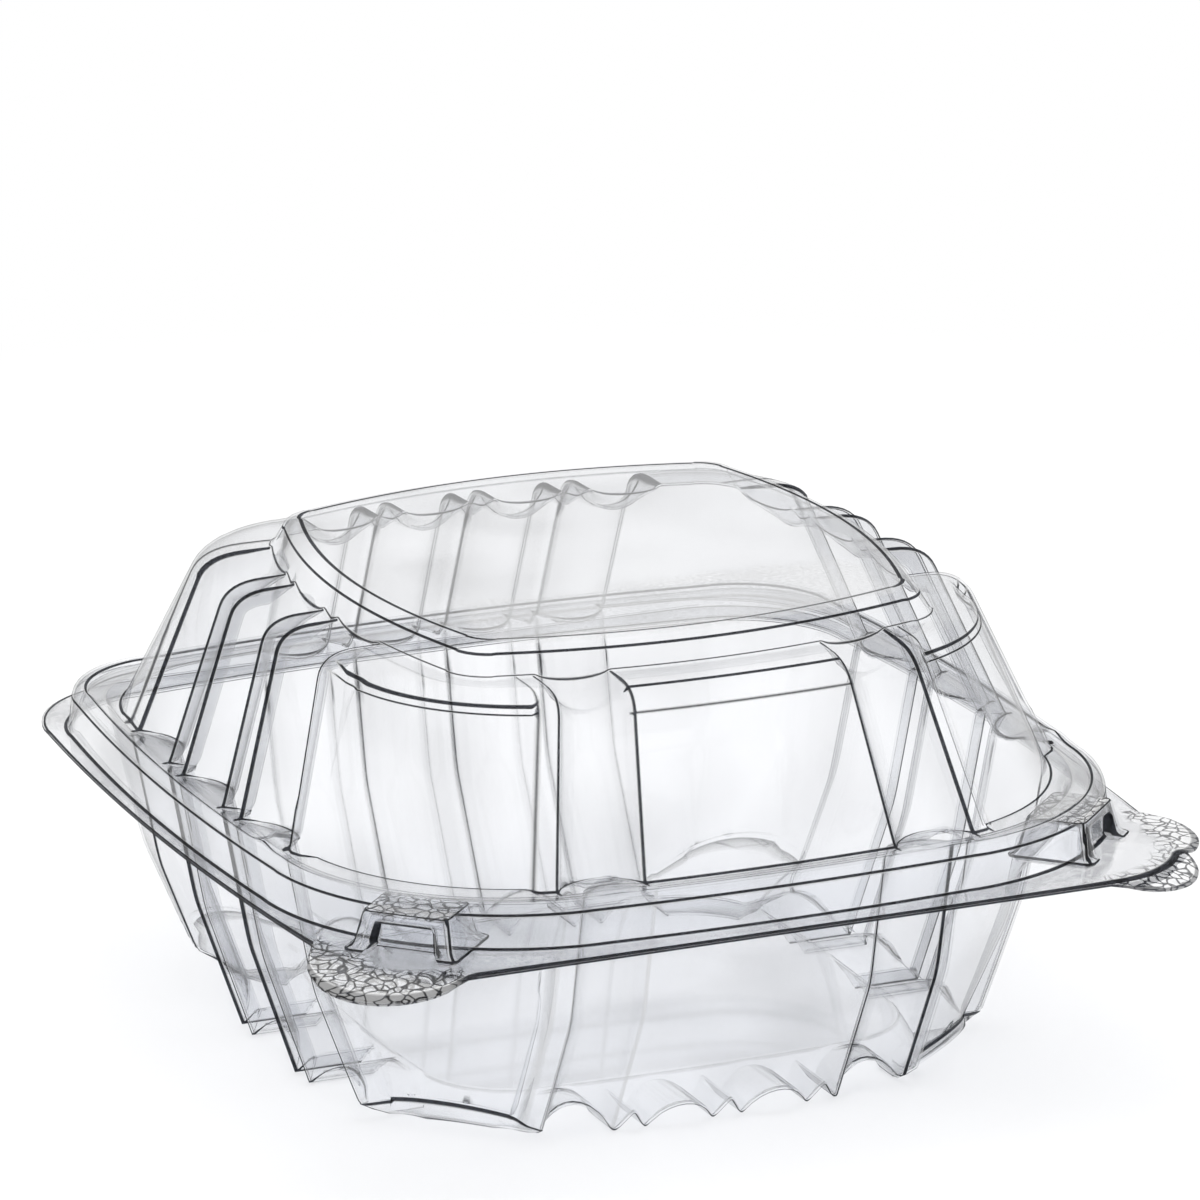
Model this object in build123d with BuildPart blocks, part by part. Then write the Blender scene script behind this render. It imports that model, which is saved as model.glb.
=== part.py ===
from build123d import *
import os

# Clear hinged-lid food pack: a fluted tray and a fluted domed lid, thermoformed from one thin
# sheet and joined along the back edge by a living hinge. Millimetres, Z up, the front at -Y.
# The origin is on the table, under the middle of the closed pack.

# Sheet
wall = 0.4
nest_gap = 0.3

# Heights above the table
total_height = 76.0
ledge_height = 71.0
shelf_height = 44.8
parting_height = 38.05
floor_height = 4.0

# Dome of the lid: sizes over the middle of each side
shoulder_width = 98.0
shoulder_depth = 99.0
shoulder_front_radius = 15.0
shoulder_back_radius = 11.0
dome_foot_width = 123.0
dome_foot_depth = 126.0
dome_foot_front_radius = 26.0
dome_foot_back_radius = 18.0
side_bulge = 5.0
shoulder_drop = 2.2
shoulder_step = 1.8

# Raised top panel of the lid
top_width = 85.0
top_depth = 86.0
top_bulge = 6.0
top_radius = 6.0
top_draft = 1.3
top_edge = 1.2

# Sunk panels at the two front corners of the dome and of the tray
corner_panel_x = 33.0
corner_panel_y = 20.8
corner_panel_top = 67.0
corner_panel_depth = 1.6
tray_panel_y = 22.4
tray_panel_top = 34.0
tray_panel_depth = 2.6

# Interlocking rim bead
bead_foot_width = 138.6
bead_foot_depth = 144.6
bead_draft = 2.0
bead_front_radius = 32.0
bead_back_radius = 16.0
rim_shift = 0.9

# Flange, hinge and corner tabs
flange_width = 143.0
flange_bulge = 5.0
flange_front = 75.5
flange_front_radius = 16.0
flange_back_radius = 15.0
hinge_y = 77.2
hinge_length = 104.0
tab_left_x = 60.5
tab_left_y = 64.5
tab_left_radius = 13.2
lid_tab_x = 62.7
lid_tab_y = 57.0
tray_tab_x = 57.5
tray_tab_y = 66.9
tab_right_radius = 10.9

# Tray
foot_width = 106.0
foot_depth = 99.0
foot_front_radius = 25.0
foot_back_radius = 15.0
waist_height = 22.0
waist_width = 121.0
waist_depth = 122.0
mouth_width = 129.0
mouth_depth = 131.0
mouth_front_radius = 29.0
mouth_back_radius = 16.0

# Raised floor panel of the tray
panel_width = 80.0
panel_depth = 76.0
panel_radius = 14.0
panel_draft = 2.0

# Slopes that lift the four bottom corners of the tray
corner_slope_reach = 52.5
corner_slope_angle = 30.0
corner_slope_size = 90.0

# Flutes
flute_depth = 4.6
rib_gap_depth = 3.4
side_pitch = 19.4
side_rib_gap = 5.4
side_middle = 8.7
cross_pitch = 15.8
cross_rib_gap = 4.8
rib_land = 0.5
label_half_width = 18.5
front_flute_width = 11.5
tray_side_pitch = 21.4
tray_side_rib_gap = 6.6

# Snap latches at the two front corners
latch_x = 53.5
latch_y = 57.1
latch_width = 14.0
latch_length = 15.5
latch_height = 6.2
latch_draft = 1.2
latch_pocket_width = 8.5
latch_pocket_height = 4.4
latch_pocket_depth = 1.0

# Heights that follow
lid_flange_under = parting_height + nest_gap / 2
tray_flange_top = parting_height - nest_gap / 2
tray_flange_under = tray_flange_top - wall
mouth_height = shelf_height - wall - nest_gap
hinge_radius = wall + nest_gap / 2
over = 2.0


def rounded_face(width, depth, bulge, front_radius, back_radius, inset=0.0):
    """Four bowed sides with rounded corners, all moved in by inset."""
    half_x = width / 2 - bulge - inset
    half_y = depth / 2 - bulge - inset
    with BuildSketch() as face:
        with BuildLine():
            ThreePointArc((-half_x, -half_y), (0, -half_y - bulge), (half_x, -half_y))
            ThreePointArc((half_x, -half_y), (half_x + bulge, 0), (half_x, half_y))
            ThreePointArc((half_x, half_y), (0, half_y + bulge), (-half_x, half_y))
            ThreePointArc((-half_x, half_y), (-half_x - bulge, 0), (-half_x, -half_y))
        make_face()
        fillet(face.vertices().group_by(Axis.Y)[0], front_radius - inset)
        fillet(face.vertices().group_by(Axis.Y)[-1], back_radius - inset)
    return face.sketch


def stack(levels, inset=0.0, shift=0.0):
    """Straight-walled solid through levels of (height, width, depth, bulge, front, back radius)."""
    faces = [
        Pos(0, shift, level[0]) * rounded_face(*level[1:], inset=inset) for level in levels
    ]
    with BuildPart() as solid:
        loft(faces, ruled=True)
    return solid.part


def bowed_in(half_size, half_side, bulge, along):
    """How far out a bowed side stands at a place along it."""
    return half_size - bulge * (along / (half_side - bulge)) ** 2


def round_cut(width, depth, grow):
    """Section of a wide flute: an arc of the given width and depth at the ridge line."""
    radius = (depth**2 + (width / 2) ** 2) / (2 * depth)
    with BuildSketch() as cut:
        with Locations((0, radius - depth)):
            Circle(radius + grow)
    return cut.sketch


def vee_cut(width, depth, grow):
    """Section of the narrow gap inside a pair of ridges."""
    slope = width / 2 / depth
    tip = depth + grow * (1 + slope**2) ** 0.5 / slope
    with BuildSketch() as cut:
        with BuildLine():
            Polyline(
                (0, -tip),
                ((tip + depth) * slope, depth),
                (-(tip + depth) * slope, depth),
                close=True,
            )
        make_face()
    return cut.sketch


def flute(path, section):
    """Groove along a path of (outward, height) points, for the +X side."""
    with BuildPart() as cutter:
        with BuildLine(Plane.XZ) as run:
            Polyline(*path)
        with BuildSketch(Plane(run.line @ 0, x_dir=(0, 1, 0), z_dir=run.line % 0)):
            add(section)
        sweep(path=run.wires()[0], transition=Transition.RIGHT)
    return cutter.part


def flute_row(count, pitch, gap, middle):
    """A row of wide flutes with a narrow gap between each two: place, section, width, depth."""
    first = middle - pitch * (count - 1) / 2
    wide = pitch - gap - rib_land
    narrow = gap - rib_land
    row = [(first + i * pitch, round_cut, wide, flute_depth) for i in range(count)]
    row += [(first + (i + 0.5) * pitch, vee_cut, narrow, rib_gap_depth) for i in range(count - 1)]
    return row


def front_row():
    """The one wide flute on each side of the label panel."""
    along = label_half_width + front_flute_width / 2
    return [(side * along, round_cut, front_flute_width, flute_depth) for side in (-1, 1)]


def cut_flutes(levels, lead, rows, shift, grow=0.0):
    """Groove solids for rows of (side turn, flutes). The levels give each groove its path."""
    cutters = []
    for turn, row in rows:
        across_x = turn % 180 == 0
        for along, cut, width, depth in row:
            path = []
            for level in levels:
                size, side = (level[1], level[2]) if across_x else (level[2], level[1])
                path.append((bowed_in(size / 2, side / 2, level[3], along), level[0]))
            path = lead(path)
            groove = Pos(0, along, 0) * flute(path, cut(width, depth, grow))
            cutters.append(Pos(0, shift, 0) * Rot(0, 0, turn) * groove)
    return cutters


def latch_block(inset):
    """Drafted snap block with a pocket in its outer face, standing on the parting plane."""
    top = parting_height + latch_height - inset
    with BuildPart() as block:
        with BuildSketch(Plane.XY.offset(parting_height - over)):
            Rectangle(
                latch_width + 2 * latch_draft - 2 * inset,
                latch_length + 2 * latch_draft - 2 * inset,
            )
        with BuildSketch(Plane.XY.offset(top)):
            Rectangle(latch_width - 2 * inset, latch_length - 2 * inset)
        loft(ruled=True)
        face_y = -latch_length / 2 - latch_draft
        with BuildSketch(Plane.XZ.offset(-face_y + over)):
            with BuildLine():
                half_top = latch_pocket_width / 2 + inset
                half_foot = half_top + latch_draft
                Polyline(
                    (-half_foot, parting_height - 2 * over),
                    (half_foot, parting_height - 2 * over),
                    (half_top, parting_height + latch_pocket_height + inset),
                    (-half_top, parting_height + latch_pocket_height + inset),
                    close=True,
                )
            make_face()
        pocket_reach = over + latch_draft + latch_pocket_depth + inset
        extrude(amount=-pocket_reach, mode=Mode.SUBTRACT)
    return block.part


def latches(inset):
    """The two snap blocks, each turned to face its corner."""
    block = latch_block(inset)
    return [
        Pos(-latch_x, -latch_y, 0) * Rot(0, 0, -45) * block,
        Pos(latch_x, -latch_y, 0) * Rot(0, 0, 45) * block,
    ]


def flange_plate(under, back_y, right_tab):
    """Flat flange with its front corner tabs, one sheet thick."""
    middle_y = (back_y - flange_front) / 2
    depth = flange_front + back_y
    half_x = flange_width / 2 - flange_bulge
    with BuildPart() as plate:
        with BuildSketch(Plane.XY.offset(under)) as rim:
            with BuildLine():
                Line((-half_x, -flange_front), (half_x, -flange_front))
                ThreePointArc(
                    (half_x, -flange_front), (half_x + flange_bulge, middle_y), (half_x, back_y)
                )
                Line((half_x, back_y), (-half_x, back_y))
                ThreePointArc(
                    (-half_x, back_y), (-half_x - flange_bulge, middle_y), (-half_x, -flange_front)
                )
            make_face()
            fillet(rim.vertices().group_by(Axis.Y)[0], flange_front_radius)
            fillet(rim.vertices().group_by(Axis.Y)[-1], flange_back_radius)
            with Locations((-tab_left_x, -tab_left_y)):
                Circle(tab_left_radius)
            with Locations((right_tab[0], -right_tab[1])):
                Circle(tab_right_radius)
        extrude(amount=wall)
    return plate.part


dome_foot = (
    shelf_height, dome_foot_width, dome_foot_depth, side_bulge,
    dome_foot_front_radius, dome_foot_back_radius,
)
dome_corner = (
    ledge_height, shoulder_width, shoulder_depth, side_bulge,
    shoulder_front_radius, shoulder_back_radius,
)
knee_share = shoulder_drop / (ledge_height - shelf_height)
dome_knee = tuple(a + (b - a) * knee_share for a, b in zip(dome_corner, dome_foot))
dome_shoulder = (
    ledge_height, shoulder_width - 2 * shoulder_step, shoulder_depth - 2 * shoulder_step,
    side_bulge, shoulder_front_radius - shoulder_step, shoulder_back_radius - shoulder_step,
)
dome_levels = [dome_foot, dome_knee, dome_shoulder]
lid_rows = [
    (0, flute_row(3, side_pitch, side_rib_gap, side_middle - rim_shift)),
    (90, flute_row(4, cross_pitch, cross_rib_gap, 0)),
    (180, flute_row(3, side_pitch, side_rib_gap, rim_shift - side_middle)),
    (270, front_row()),
]


def over_ledge(path):
    """Groove path of the lid: level across the ledge, then down the wall past its foot."""
    foot, knee, shoulder = path
    slope = (foot[0] - knee[0]) / (knee[1] - foot[1])
    low = (foot[0] + slope * over, foot[1] - over)
    return [(top_width / 2 - top_bulge, shoulder[1]), shoulder, knee, low]


def corner_panels(levels, inset, panel_y, top, depth):
    """What is cut off the two front corners of a body to sink their panels."""
    low = levels[0][0] - over
    height = top + inset - low
    with BuildPart() as cut:
        with Locations((corner_panel_x - inset, inset - panel_y, low)):
            Box(dome_foot_width, dome_foot_depth, height, align=(Align.MIN, Align.MAX, Align.MIN))
        with Locations((inset - corner_panel_x, inset - panel_y, low)):
            Box(dome_foot_width, dome_foot_depth, height, align=(Align.MAX, Align.MAX, Align.MIN))
        add(stack(levels, inset + depth, rim_shift), mode=Mode.SUBTRACT)
    return cut.part


def dome(inset):
    """Dome of the lid with its raised top panel, sunk corner panels and flutes."""
    levels = [
        (dome_foot[0] - over * (inset > 0),) + dome_foot[1:],
        (dome_knee[0] - inset / 2,) + dome_knee[1:],
        (ledge_height - inset,) + dome_shoulder[1:],
    ]
    top_foot = ledge_height - flute_depth - over
    top_low = (top_foot, top_width + 2 * top_draft, top_depth + 2 * top_draft)
    top_side = (total_height - top_edge - inset / 2, top_width, top_depth)
    top_high = (total_height - inset, top_width - 2 * top_edge, top_depth - 2 * top_edge)
    corner = (top_bulge, top_radius, top_radius)
    top_corner = (top_bulge, top_radius - top_edge, top_radius - top_edge)
    with BuildPart() as solid:
        add(stack(levels, inset, rim_shift))
        panels = corner_panels(
            levels, inset, corner_panel_y, corner_panel_top, corner_panel_depth
        )
        add(panels, mode=Mode.SUBTRACT)
        cutters = cut_flutes(dome_levels, over_ledge, lid_rows, rim_shift, inset)
        add(cutters, mode=Mode.SUBTRACT)
        add(stack([top_low + corner, top_side + corner, top_high + top_corner], inset))
    return solid.part


def rim_bead(under, top, inset):
    """Rounded ring of the rim as a full block, drafted so that lid and tray part freely."""
    foot = (under, bead_foot_width, bead_foot_depth, side_bulge)
    crest = (top, bead_foot_width - 2 * bead_draft, bead_foot_depth - 2 * bead_draft, side_bulge)
    foot += (bead_front_radius, bead_back_radius)
    crest += (bead_front_radius - bead_draft, bead_back_radius - bead_draft)
    return stack([foot, crest], inset, rim_shift)


# Lid
lid_back = hinge_y - hinge_radius - nest_gap
with BuildPart() as lid:
    add(dome(0))
    add(rim_bead(lid_flange_under, shelf_height, 0))
    add(latches(0))
    with Locations((0, 0, lid_flange_under - 3 * over)):
        trim = 2 * flange_width
        Box(trim, trim, 3 * over, align=(Align.CENTER, Align.CENTER, Align.MIN), mode=Mode.SUBTRACT)
    add(flange_plate(lid_flange_under, lid_back, (lid_tab_x, lid_tab_y)))
    add(dome(wall), mode=Mode.SUBTRACT)
    add(rim_bead(lid_flange_under - over, shelf_height - wall, wall), mode=Mode.SUBTRACT)
    add(latches(wall), mode=Mode.SUBTRACT)
lid.part.label = "lid"

# Tray
tray_foot = (0, foot_width, foot_depth, side_bulge, foot_front_radius, foot_back_radius)
tray_waist = (
    waist_height, waist_width, waist_depth, side_bulge, mouth_front_radius, mouth_back_radius,
)
tray_mouth = (
    mouth_height, mouth_width, mouth_depth, side_bulge, mouth_front_radius, mouth_back_radius,
)
tray_levels = [tray_foot, tray_waist, tray_mouth]
tray_rows = [
    (0, flute_row(3, tray_side_pitch, tray_side_rib_gap, side_middle - rim_shift)),
    (90, flute_row(4, cross_pitch, cross_rib_gap, 0)),
    (180, flute_row(3, tray_side_pitch, tray_side_rib_gap, rim_shift - side_middle)),
    (270, front_row()),
]


def under_foot(path):
    """Groove path of the tray: down the wall, then in under the foot to the floor panel."""
    high = (path[-1][0], path[-1][1] + 2 * over)
    inner = (panel_depth / 2 - panel_radius, 2 * (floor_height - flute_depth) - 4 * wall)
    return [high] + path[::-1] + [inner]


def strip_grooves(grow):
    """Short grooves across the foot below the label panel, for the front."""
    cutters = []
    path = [(foot_depth / 2 + 4 * over, 0), (panel_depth / 2 - over, 0)]
    for along, cut, width, depth in flute_row(4, cross_pitch, cross_rib_gap, 0):
        if abs(along) < label_half_width:
            groove = Pos(0, along, 0) * flute(path, cut(width, rib_gap_depth, grow))
            cutters.append(Pos(0, rim_shift, 0) * Rot(0, 0, 270) * groove)
    return cutters


def corner_slopes(inset):
    """Blocks whose sloped faces trim the bottom corners of the tray."""
    blocks = []
    for turn in (45, 135, 225, 315):
        slope = Pos(corner_slope_reach, 0, 0) * Rot(0, 180 - corner_slope_angle, 0)
        with BuildPart() as block:
            with Locations((0, 0, -inset)):
                Box(
                    corner_slope_size, corner_slope_size, corner_slope_size,
                    align=(Align.CENTER, Align.CENTER, Align.MIN),
                )
        blocks.append(Rot(0, 0, turn) * slope * block.part)
    return blocks


def bowl(inset):
    """Fluted body of the tray as a full block with its raised floor and lifted corners."""
    levels = [(max(level[0], inset),) + level[1:] for level in tray_levels]
    if inset > 0:
        levels[-1] = (mouth_height + over,) + levels[-1][1:]
    recess_top = (floor_height + inset, panel_width, panel_depth)
    recess_foot = (-over, panel_width + 2 * panel_draft, panel_depth + 2 * panel_draft)
    corner = (over, panel_radius, panel_radius)
    with BuildPart() as solid:
        add(stack(levels, inset, rim_shift))
        add(stack([recess_foot + corner, recess_top + corner], -inset), mode=Mode.SUBTRACT)
        cutters = cut_flutes(tray_levels, under_foot, tray_rows, rim_shift, inset)
        for groove in cutters + strip_grooves(inset) + corner_slopes(inset):
            add(groove, mode=Mode.SUBTRACT)
        panels = corner_panels(levels, inset, tray_panel_y, tray_panel_top, tray_panel_depth)
        add(panels, mode=Mode.SUBTRACT)
    return solid.part


bead_inset = wall + nest_gap
with BuildPart() as tray:
    add(rim_bead(tray_flange_under, mouth_height, bead_inset))
    add(latches(bead_inset))
    with Locations((0, 0, tray_flange_under - 3 * over)):
        trim = 2 * flange_width
        Box(trim, trim, 3 * over, align=(Align.CENTER, Align.CENTER, Align.MIN), mode=Mode.SUBTRACT)
    add(flange_plate(tray_flange_under, hinge_y, (tray_tab_x, tray_tab_y)))
    with Locations(Location((0, hinge_y, parting_height), (0, 90, 0))):
        Cylinder(hinge_radius, hinge_length)
    add(rim_bead(tray_flange_under - over, mouth_height - wall, bead_inset + wall), mode=Mode.SUBTRACT)
    add(latches(bead_inset + wall), mode=Mode.SUBTRACT)
    add(bowl(0))
    add(bowl(wall), mode=Mode.SUBTRACT)
tray.part.label = "tray"

os.makedirs("parts", exist_ok=True)
export_step(lid.part, "parts/lid.step")
export_step(tray.part, "parts/tray.step")
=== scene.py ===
import math

import bpy
import numpy as np
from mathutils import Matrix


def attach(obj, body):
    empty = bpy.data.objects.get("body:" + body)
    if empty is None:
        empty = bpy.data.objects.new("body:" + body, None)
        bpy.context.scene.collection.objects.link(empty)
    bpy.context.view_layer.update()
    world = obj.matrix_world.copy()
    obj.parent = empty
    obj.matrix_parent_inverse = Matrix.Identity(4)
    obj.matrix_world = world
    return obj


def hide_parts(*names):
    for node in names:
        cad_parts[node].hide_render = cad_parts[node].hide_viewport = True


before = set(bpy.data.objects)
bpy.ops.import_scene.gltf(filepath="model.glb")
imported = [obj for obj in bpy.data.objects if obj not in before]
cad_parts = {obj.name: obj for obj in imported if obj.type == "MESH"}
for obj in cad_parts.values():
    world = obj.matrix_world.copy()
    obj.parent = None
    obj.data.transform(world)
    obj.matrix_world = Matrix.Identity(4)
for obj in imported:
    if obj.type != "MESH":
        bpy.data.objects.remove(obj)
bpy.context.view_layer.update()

# Clear food pack with a hinged lid. All working sizes are in millimetres and become metres
# when a mesh is written.

metre = 0.001

gridValues = {
    "spacing": 1.25, "clearOfMark": 0.95, "closest": 0.12, "mergeDistance": 0.000004,
    "besideMark": (-0.75, -0.45, -0.15, 0.15, 0.45, 0.75),
    "frontMore": 4.0, "panelMarks": (0.1, 3.0), "arcSteps": 160, "arcRounds": 40, "knee": 26.0, "tiny": 1e-9,
}
lineValues = {
    "crestLand": 0.25, "crestSoft": 0.15, "steepest": 1.5,
    "reach": 0.34, "levelReach": 0.6, "level": 0.5, "farthest": 0.4, "closeEnough": 0.4,
}
grooveValues = {"half": 60, "step": 0.05, "softenReach": 1.2, "soften": 0.32}


def clearSelection():
    if bpy.context.object is not None and bpy.context.object.mode != "OBJECT":
        bpy.ops.object.mode_set(mode="OBJECT")
    bpy.ops.object.select_all(action="DESELECT")


def selectOnly(piece):
    clearSelection()
    piece.select_set(True)
    bpy.context.view_layer.objects.active = piece


def smoothStep(low, high, value):
    share = np.clip((np.asarray(value, float) - low) / (high - low), 0.0, 1.0)
    return share * share * (3 - 2 * share)


# One outline of the sheet: half width, half depth, bow of the left and right sides, bow of the front and
# back, front corner radius, back corner radius, shift toward the back, height.
def outline(halfWidth, halfDepth, bowX, bowY, frontRadius, backRadius, shift, height):
    return np.array([halfWidth, halfDepth, bowX, bowY, frontRadius, backRadius, shift, height], float)


def blendOutline(first, second, share):
    return first + (second - first) * share


def between(first, last, shares):
    return [blendOutline(first, last, share) for share in shares]


def addRows(rows, outlines, **marks):
    rows += [dict(marks, o=o) for o in outlines]


def roundOver(first, corner, last, count):
    # outlines along a soft bend from first to last, past the sharp corner between them
    rows = []
    for i in range(count + 1):
        t = i / count
        rows.append(first * (1 - t) ** 2 + corner * 2 * t * (1 - t) + last * t * t)
    return rows


def quarter(halfX, halfY, bowX, bowY, radius, count=gridValues["arcSteps"]):
    # a quarter of an outline from the middle of one side round the corner to the next side
    sideX = lambda y: halfX - bowX * (y / (halfY - bowY)) ** 2
    sideY = lambda x: halfY - bowY * (x / (halfX - bowX)) ** 2
    centreX, centreY = halfX - radius, halfY - radius
    for _ in range(gridValues["arcRounds"]):
        centreX = sideX(centreY) - radius
        centreY = sideY(centreX) - radius
    slopeX = 2 * bowX * centreY / (halfY - bowY) ** 2
    slopeY = 2 * bowY * centreX / (halfX - bowX) ** 2
    start, end = math.atan2(slopeX, 1), math.atan2(1, slopeY)
    angles = np.linspace(start, end, count)
    arcX, arcY = centreX + radius * np.cos(angles), centreY + radius * np.sin(angles)
    firstY = np.linspace(0, arcY[0], count)[:-1]
    lastX = np.linspace(arcX[-1], 0, count)[1:]
    x = np.concatenate([sideX(firstY), arcX, lastX])
    y = np.concatenate([firstY, arcY, sideY(lastX)])
    return x, y


class Sheet:
    # stations round the pack: straight ones on each side, and corners between them
    def __init__(self, sideRange, backHalf, frontHalf, sideMarks, backMarks, frontMarks, cornerSteps):
        self.side = self.spread(sideRange[0], sideRange[1], sideMarks)
        self.back = self.spread(-backHalf, backHalf, backMarks)
        self.front = self.spread(-frontHalf, frontHalf, frontMarks)
        self.cornerSteps = cornerSteps
        kinds, along = [], []
        for kind, stations in (
            (0, self.side), (1, None), (2, self.back[::-1]), (3, None),
            (4, self.side[::-1]), (5, None), (6, self.front), (7, None),
        ):
            if stations is None:
                steps = cornerSteps[kind // 2]
                along += [(i + 1) / (steps + 1) for i in range(steps)]
                kinds += [kind] * steps
            else:
                along += list(stations)
                kinds += [kind] * len(stations)
        self.kind, self.along = np.array(kinds), np.array(along)

    @staticmethod
    def spread(low, high, marks):
        # even stations with closer ones at the marks, where the sheet bends sharply
        g = gridValues
        places = list(np.linspace(low, high, int(round((high - low) / g["spacing"])) + 1))
        for mark in marks:
            places = [p for p in places if abs(p - mark) > g["clearOfMark"] or p in (low, high)]
            places += [mark + step for step in g["besideMark"]]
        places = np.array(sorted(p for p in places if low <= p <= high))
        kept = [places[0]]
        for p in places[1:]:
            if p - kept[-1] > g["closest"]:
                kept.append(p)
        kept[-1] = high
        return np.array(kept)

    def ring(self, o, frontFlare=1.0, sideFlare=1.0, fixed=0.0):
        # plan points of every station on one outline; the flutes fan out by the flares
        halfX, halfY, bowX, bowY, frontR, backR, shift, _ = o
        fx, fy = quarter(halfX, halfY, bowX, bowY, frontR)
        bx, by = quarter(halfX, halfY, bowX, bowY, backR)
        side = fixed - (fixed - self.side) * sideFlare - shift
        # past the knee the stations are squeezed, so that a side ends inside its corners
        steps, knee = gridValues["arcSteps"], gridValues["knee"]
        arc, even = slice(steps - 1, 2 * steps - 1), np.linspace(0, 1, steps)
        limit = min(np.interp(0.5, even, by[arc]), np.interp(0.5, even, fy[arc]))
        squeeze = min(1.0, (limit - knee) / (np.abs(side).max() - knee))
        squeezed = np.sign(side) * (knee + (np.abs(side) - knee) * squeeze)
        side = np.where(np.abs(side) > knee, squeezed, side)
        along = np.abs(side)
        sideX = np.where(side > 0, np.interp(along, by, bx), np.interp(along, fy, fx))
        backY = np.interp(np.abs(self.back), bx[::-1], by[::-1])
        front = self.front * frontFlare
        frontY = np.interp(np.abs(front), fx[::-1], fy[::-1])
        backCorner = self.corner(bx, by, abs(side[-1]), abs(self.back[-1]), self.cornerSteps[0])
        frontCorner = self.corner(fx, fy, abs(side[0]), abs(front[-1]), self.cornerSteps[2])
        xs = np.concatenate([
            sideX, backCorner[0], self.back[::-1], -backCorner[0][::-1],
            -sideX[::-1], -frontCorner[0], front, frontCorner[0][::-1],
        ])
        ys = np.concatenate([
            side, backCorner[1], backY[::-1], backCorner[1][::-1],
            side[::-1], -frontCorner[1], -frontY, -frontCorner[1][::-1],
        ])
        return xs, ys + shift

    @staticmethod
    def corner(x, y, fromY, toX, steps):
        run = np.concatenate([[0], np.cumsum(np.hypot(np.diff(x), np.diff(y)))])
        start = np.interp(fromY, y, run)
        end = np.interp(-toX, -x, run)
        places = np.linspace(start, end, steps + 2)[1:-1]
        return np.interp(places, run, x), np.interp(places, run, y)

    def outward(self):
        # plan direction out of each straight station; zero in the corners
        x = np.select([self.kind == 0, self.kind == 4], [1.0, -1.0], 0.0)
        y = np.select([self.kind == 2, self.kind == 6], [1.0, -1.0], 0.0)
        return x, y


def grooveDepth(along, wide, narrow, wideSize, narrowSize):
    # depth of the flutes at each place along a side: round ones and pointed ones between them
    g = grooveValues
    fine = np.arange(-g["half"], g["half"], g["step"])
    depth = np.zeros_like(fine)
    for middle in wide:
        width, deep = wideSize
        radius = (deep ** 2 + (width / 2) ** 2) / (2 * deep)
        near = np.abs(fine - middle)
        arc = np.sqrt(np.maximum(radius ** 2 - near ** 2, 0)) - (radius - deep)
        depth = np.maximum(depth, np.where(near < width / 2, arc, 0))
    for middle in narrow:
        width, deep = narrowSize
        depth = np.maximum(depth, deep * np.clip(1 - np.abs(fine - middle) / (width / 2), 0, 1))
    reach = np.arange(-g["softenReach"], g["softenReach"], g["step"])
    kernel = np.exp(-(reach / g["soften"]) ** 2)
    depth = np.convolve(depth, kernel / kernel.sum(), mode="same")
    return np.interp(along, fine, depth)


def crestShadeLine(stations, crests):
    # painted dark lines along the ridge crests; each group: sides, places of the ridge crests, half width,
    # strengths
    line = np.zeros(len(stations.kind))
    for kinds, places, reach, strengths in crests:
        for kind in kinds:
            own = np.where(stations.kind == kind)[0]
            for place, strength in zip(places, strengths):
                away = np.abs(stations.along[own] - place)
                share = np.clip((reach - away) / lineValues["crestSoft"], 0, 1) * strength
                share[np.argmin(away)] = strength
                line[own] = np.maximum(line[own], share)
    return line


def flankShade(stations, depth):
    # painted shade: the steeper flanks of the flutes are painted greyer
    slope = np.abs(np.gradient(depth, stations.along + np.arange(len(depth)) * gridValues["tiny"]))
    straight = np.isin(stations.kind, (0, 2, 4, 6)) & np.isfinite(slope)
    return np.where(straight, np.minimum(slope, lineValues["steepest"]), 0)


def crestsOf(wide, width):
    # crests beside every round flute of a row
    reach = width / 2 + lineValues["crestLand"]
    return [middle + side * reach for middle in wide for side in (-1, 1)]


def rowOf(count, pitch, middle):
    first = middle - pitch * (count - 1) / 2
    wide = [first + i * pitch for i in range(count)]
    narrow = [first + (i + 0.5) * pitch for i in range(count - 1)]
    return wide, narrow


def marksOf(wide, narrow, wideWidth, narrowWidth):
    # places of the ridge crests and of the bottoms of the pointed gaps
    land = lineValues["crestLand"]
    marks = list(narrow)
    for middle in narrow:
        marks += [middle - narrowWidth / 2 - land, middle + narrowWidth / 2 + land]
    marks += [min(wide) - wideWidth / 2 - land, max(wide) + wideWidth / 2 + land]
    return marks


def withTabs(x, y, edgeX, edgeY, tabs):
    # edge points moved out to the round grip tabs where a ray from inside meets one
    awayX, awayY = edgeX - x, edgeY - y
    reach = np.hypot(awayX, awayY)
    awayX, awayY = awayX / reach, awayY / reach
    far = reach.copy()
    for centreX, centreY, radius in tabs:
        toX, toY = centreX - x, centreY - y
        along = toX * awayX + toY * awayY
        off2 = toX ** 2 + toY ** 2 - along ** 2
        hit = off2 < radius ** 2
        out = np.where(hit & (along > 0), along + np.sqrt(np.maximum(radius ** 2 - off2, 0)), 0)
        far = np.maximum(far, out)
    return x + awayX * far, y + awayY * far, far - reach


def besideLines(rows):
    # rows close to each ring that carries a painted dark line keep the line thin; level ones are seen
    # at a low angle and get a wider line
    v = lineValues
    made = [rows[0]]
    for before, here in zip(rows[:-1], rows[1:]):
        step = np.array(here[:3]) - np.array(before[:3])
        distance = float(np.median(np.linalg.norm(step, axis=0)))
        level = float(np.median(np.abs(step[2]))) < v["level"] * distance
        reach = v["levelReach"] if level else v["reach"]
        share = min(v["farthest"], reach / max(distance, gridValues["tiny"]))
        if before[4] > 0 and distance > v["closeEnough"]:
            made.append(betweenRows(before, here, share))
        if here[4] > 0 and distance > v["closeEnough"]:
            made.append(betweenRows(before, here, 1 - share))
        made.append(here)
    return made


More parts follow.
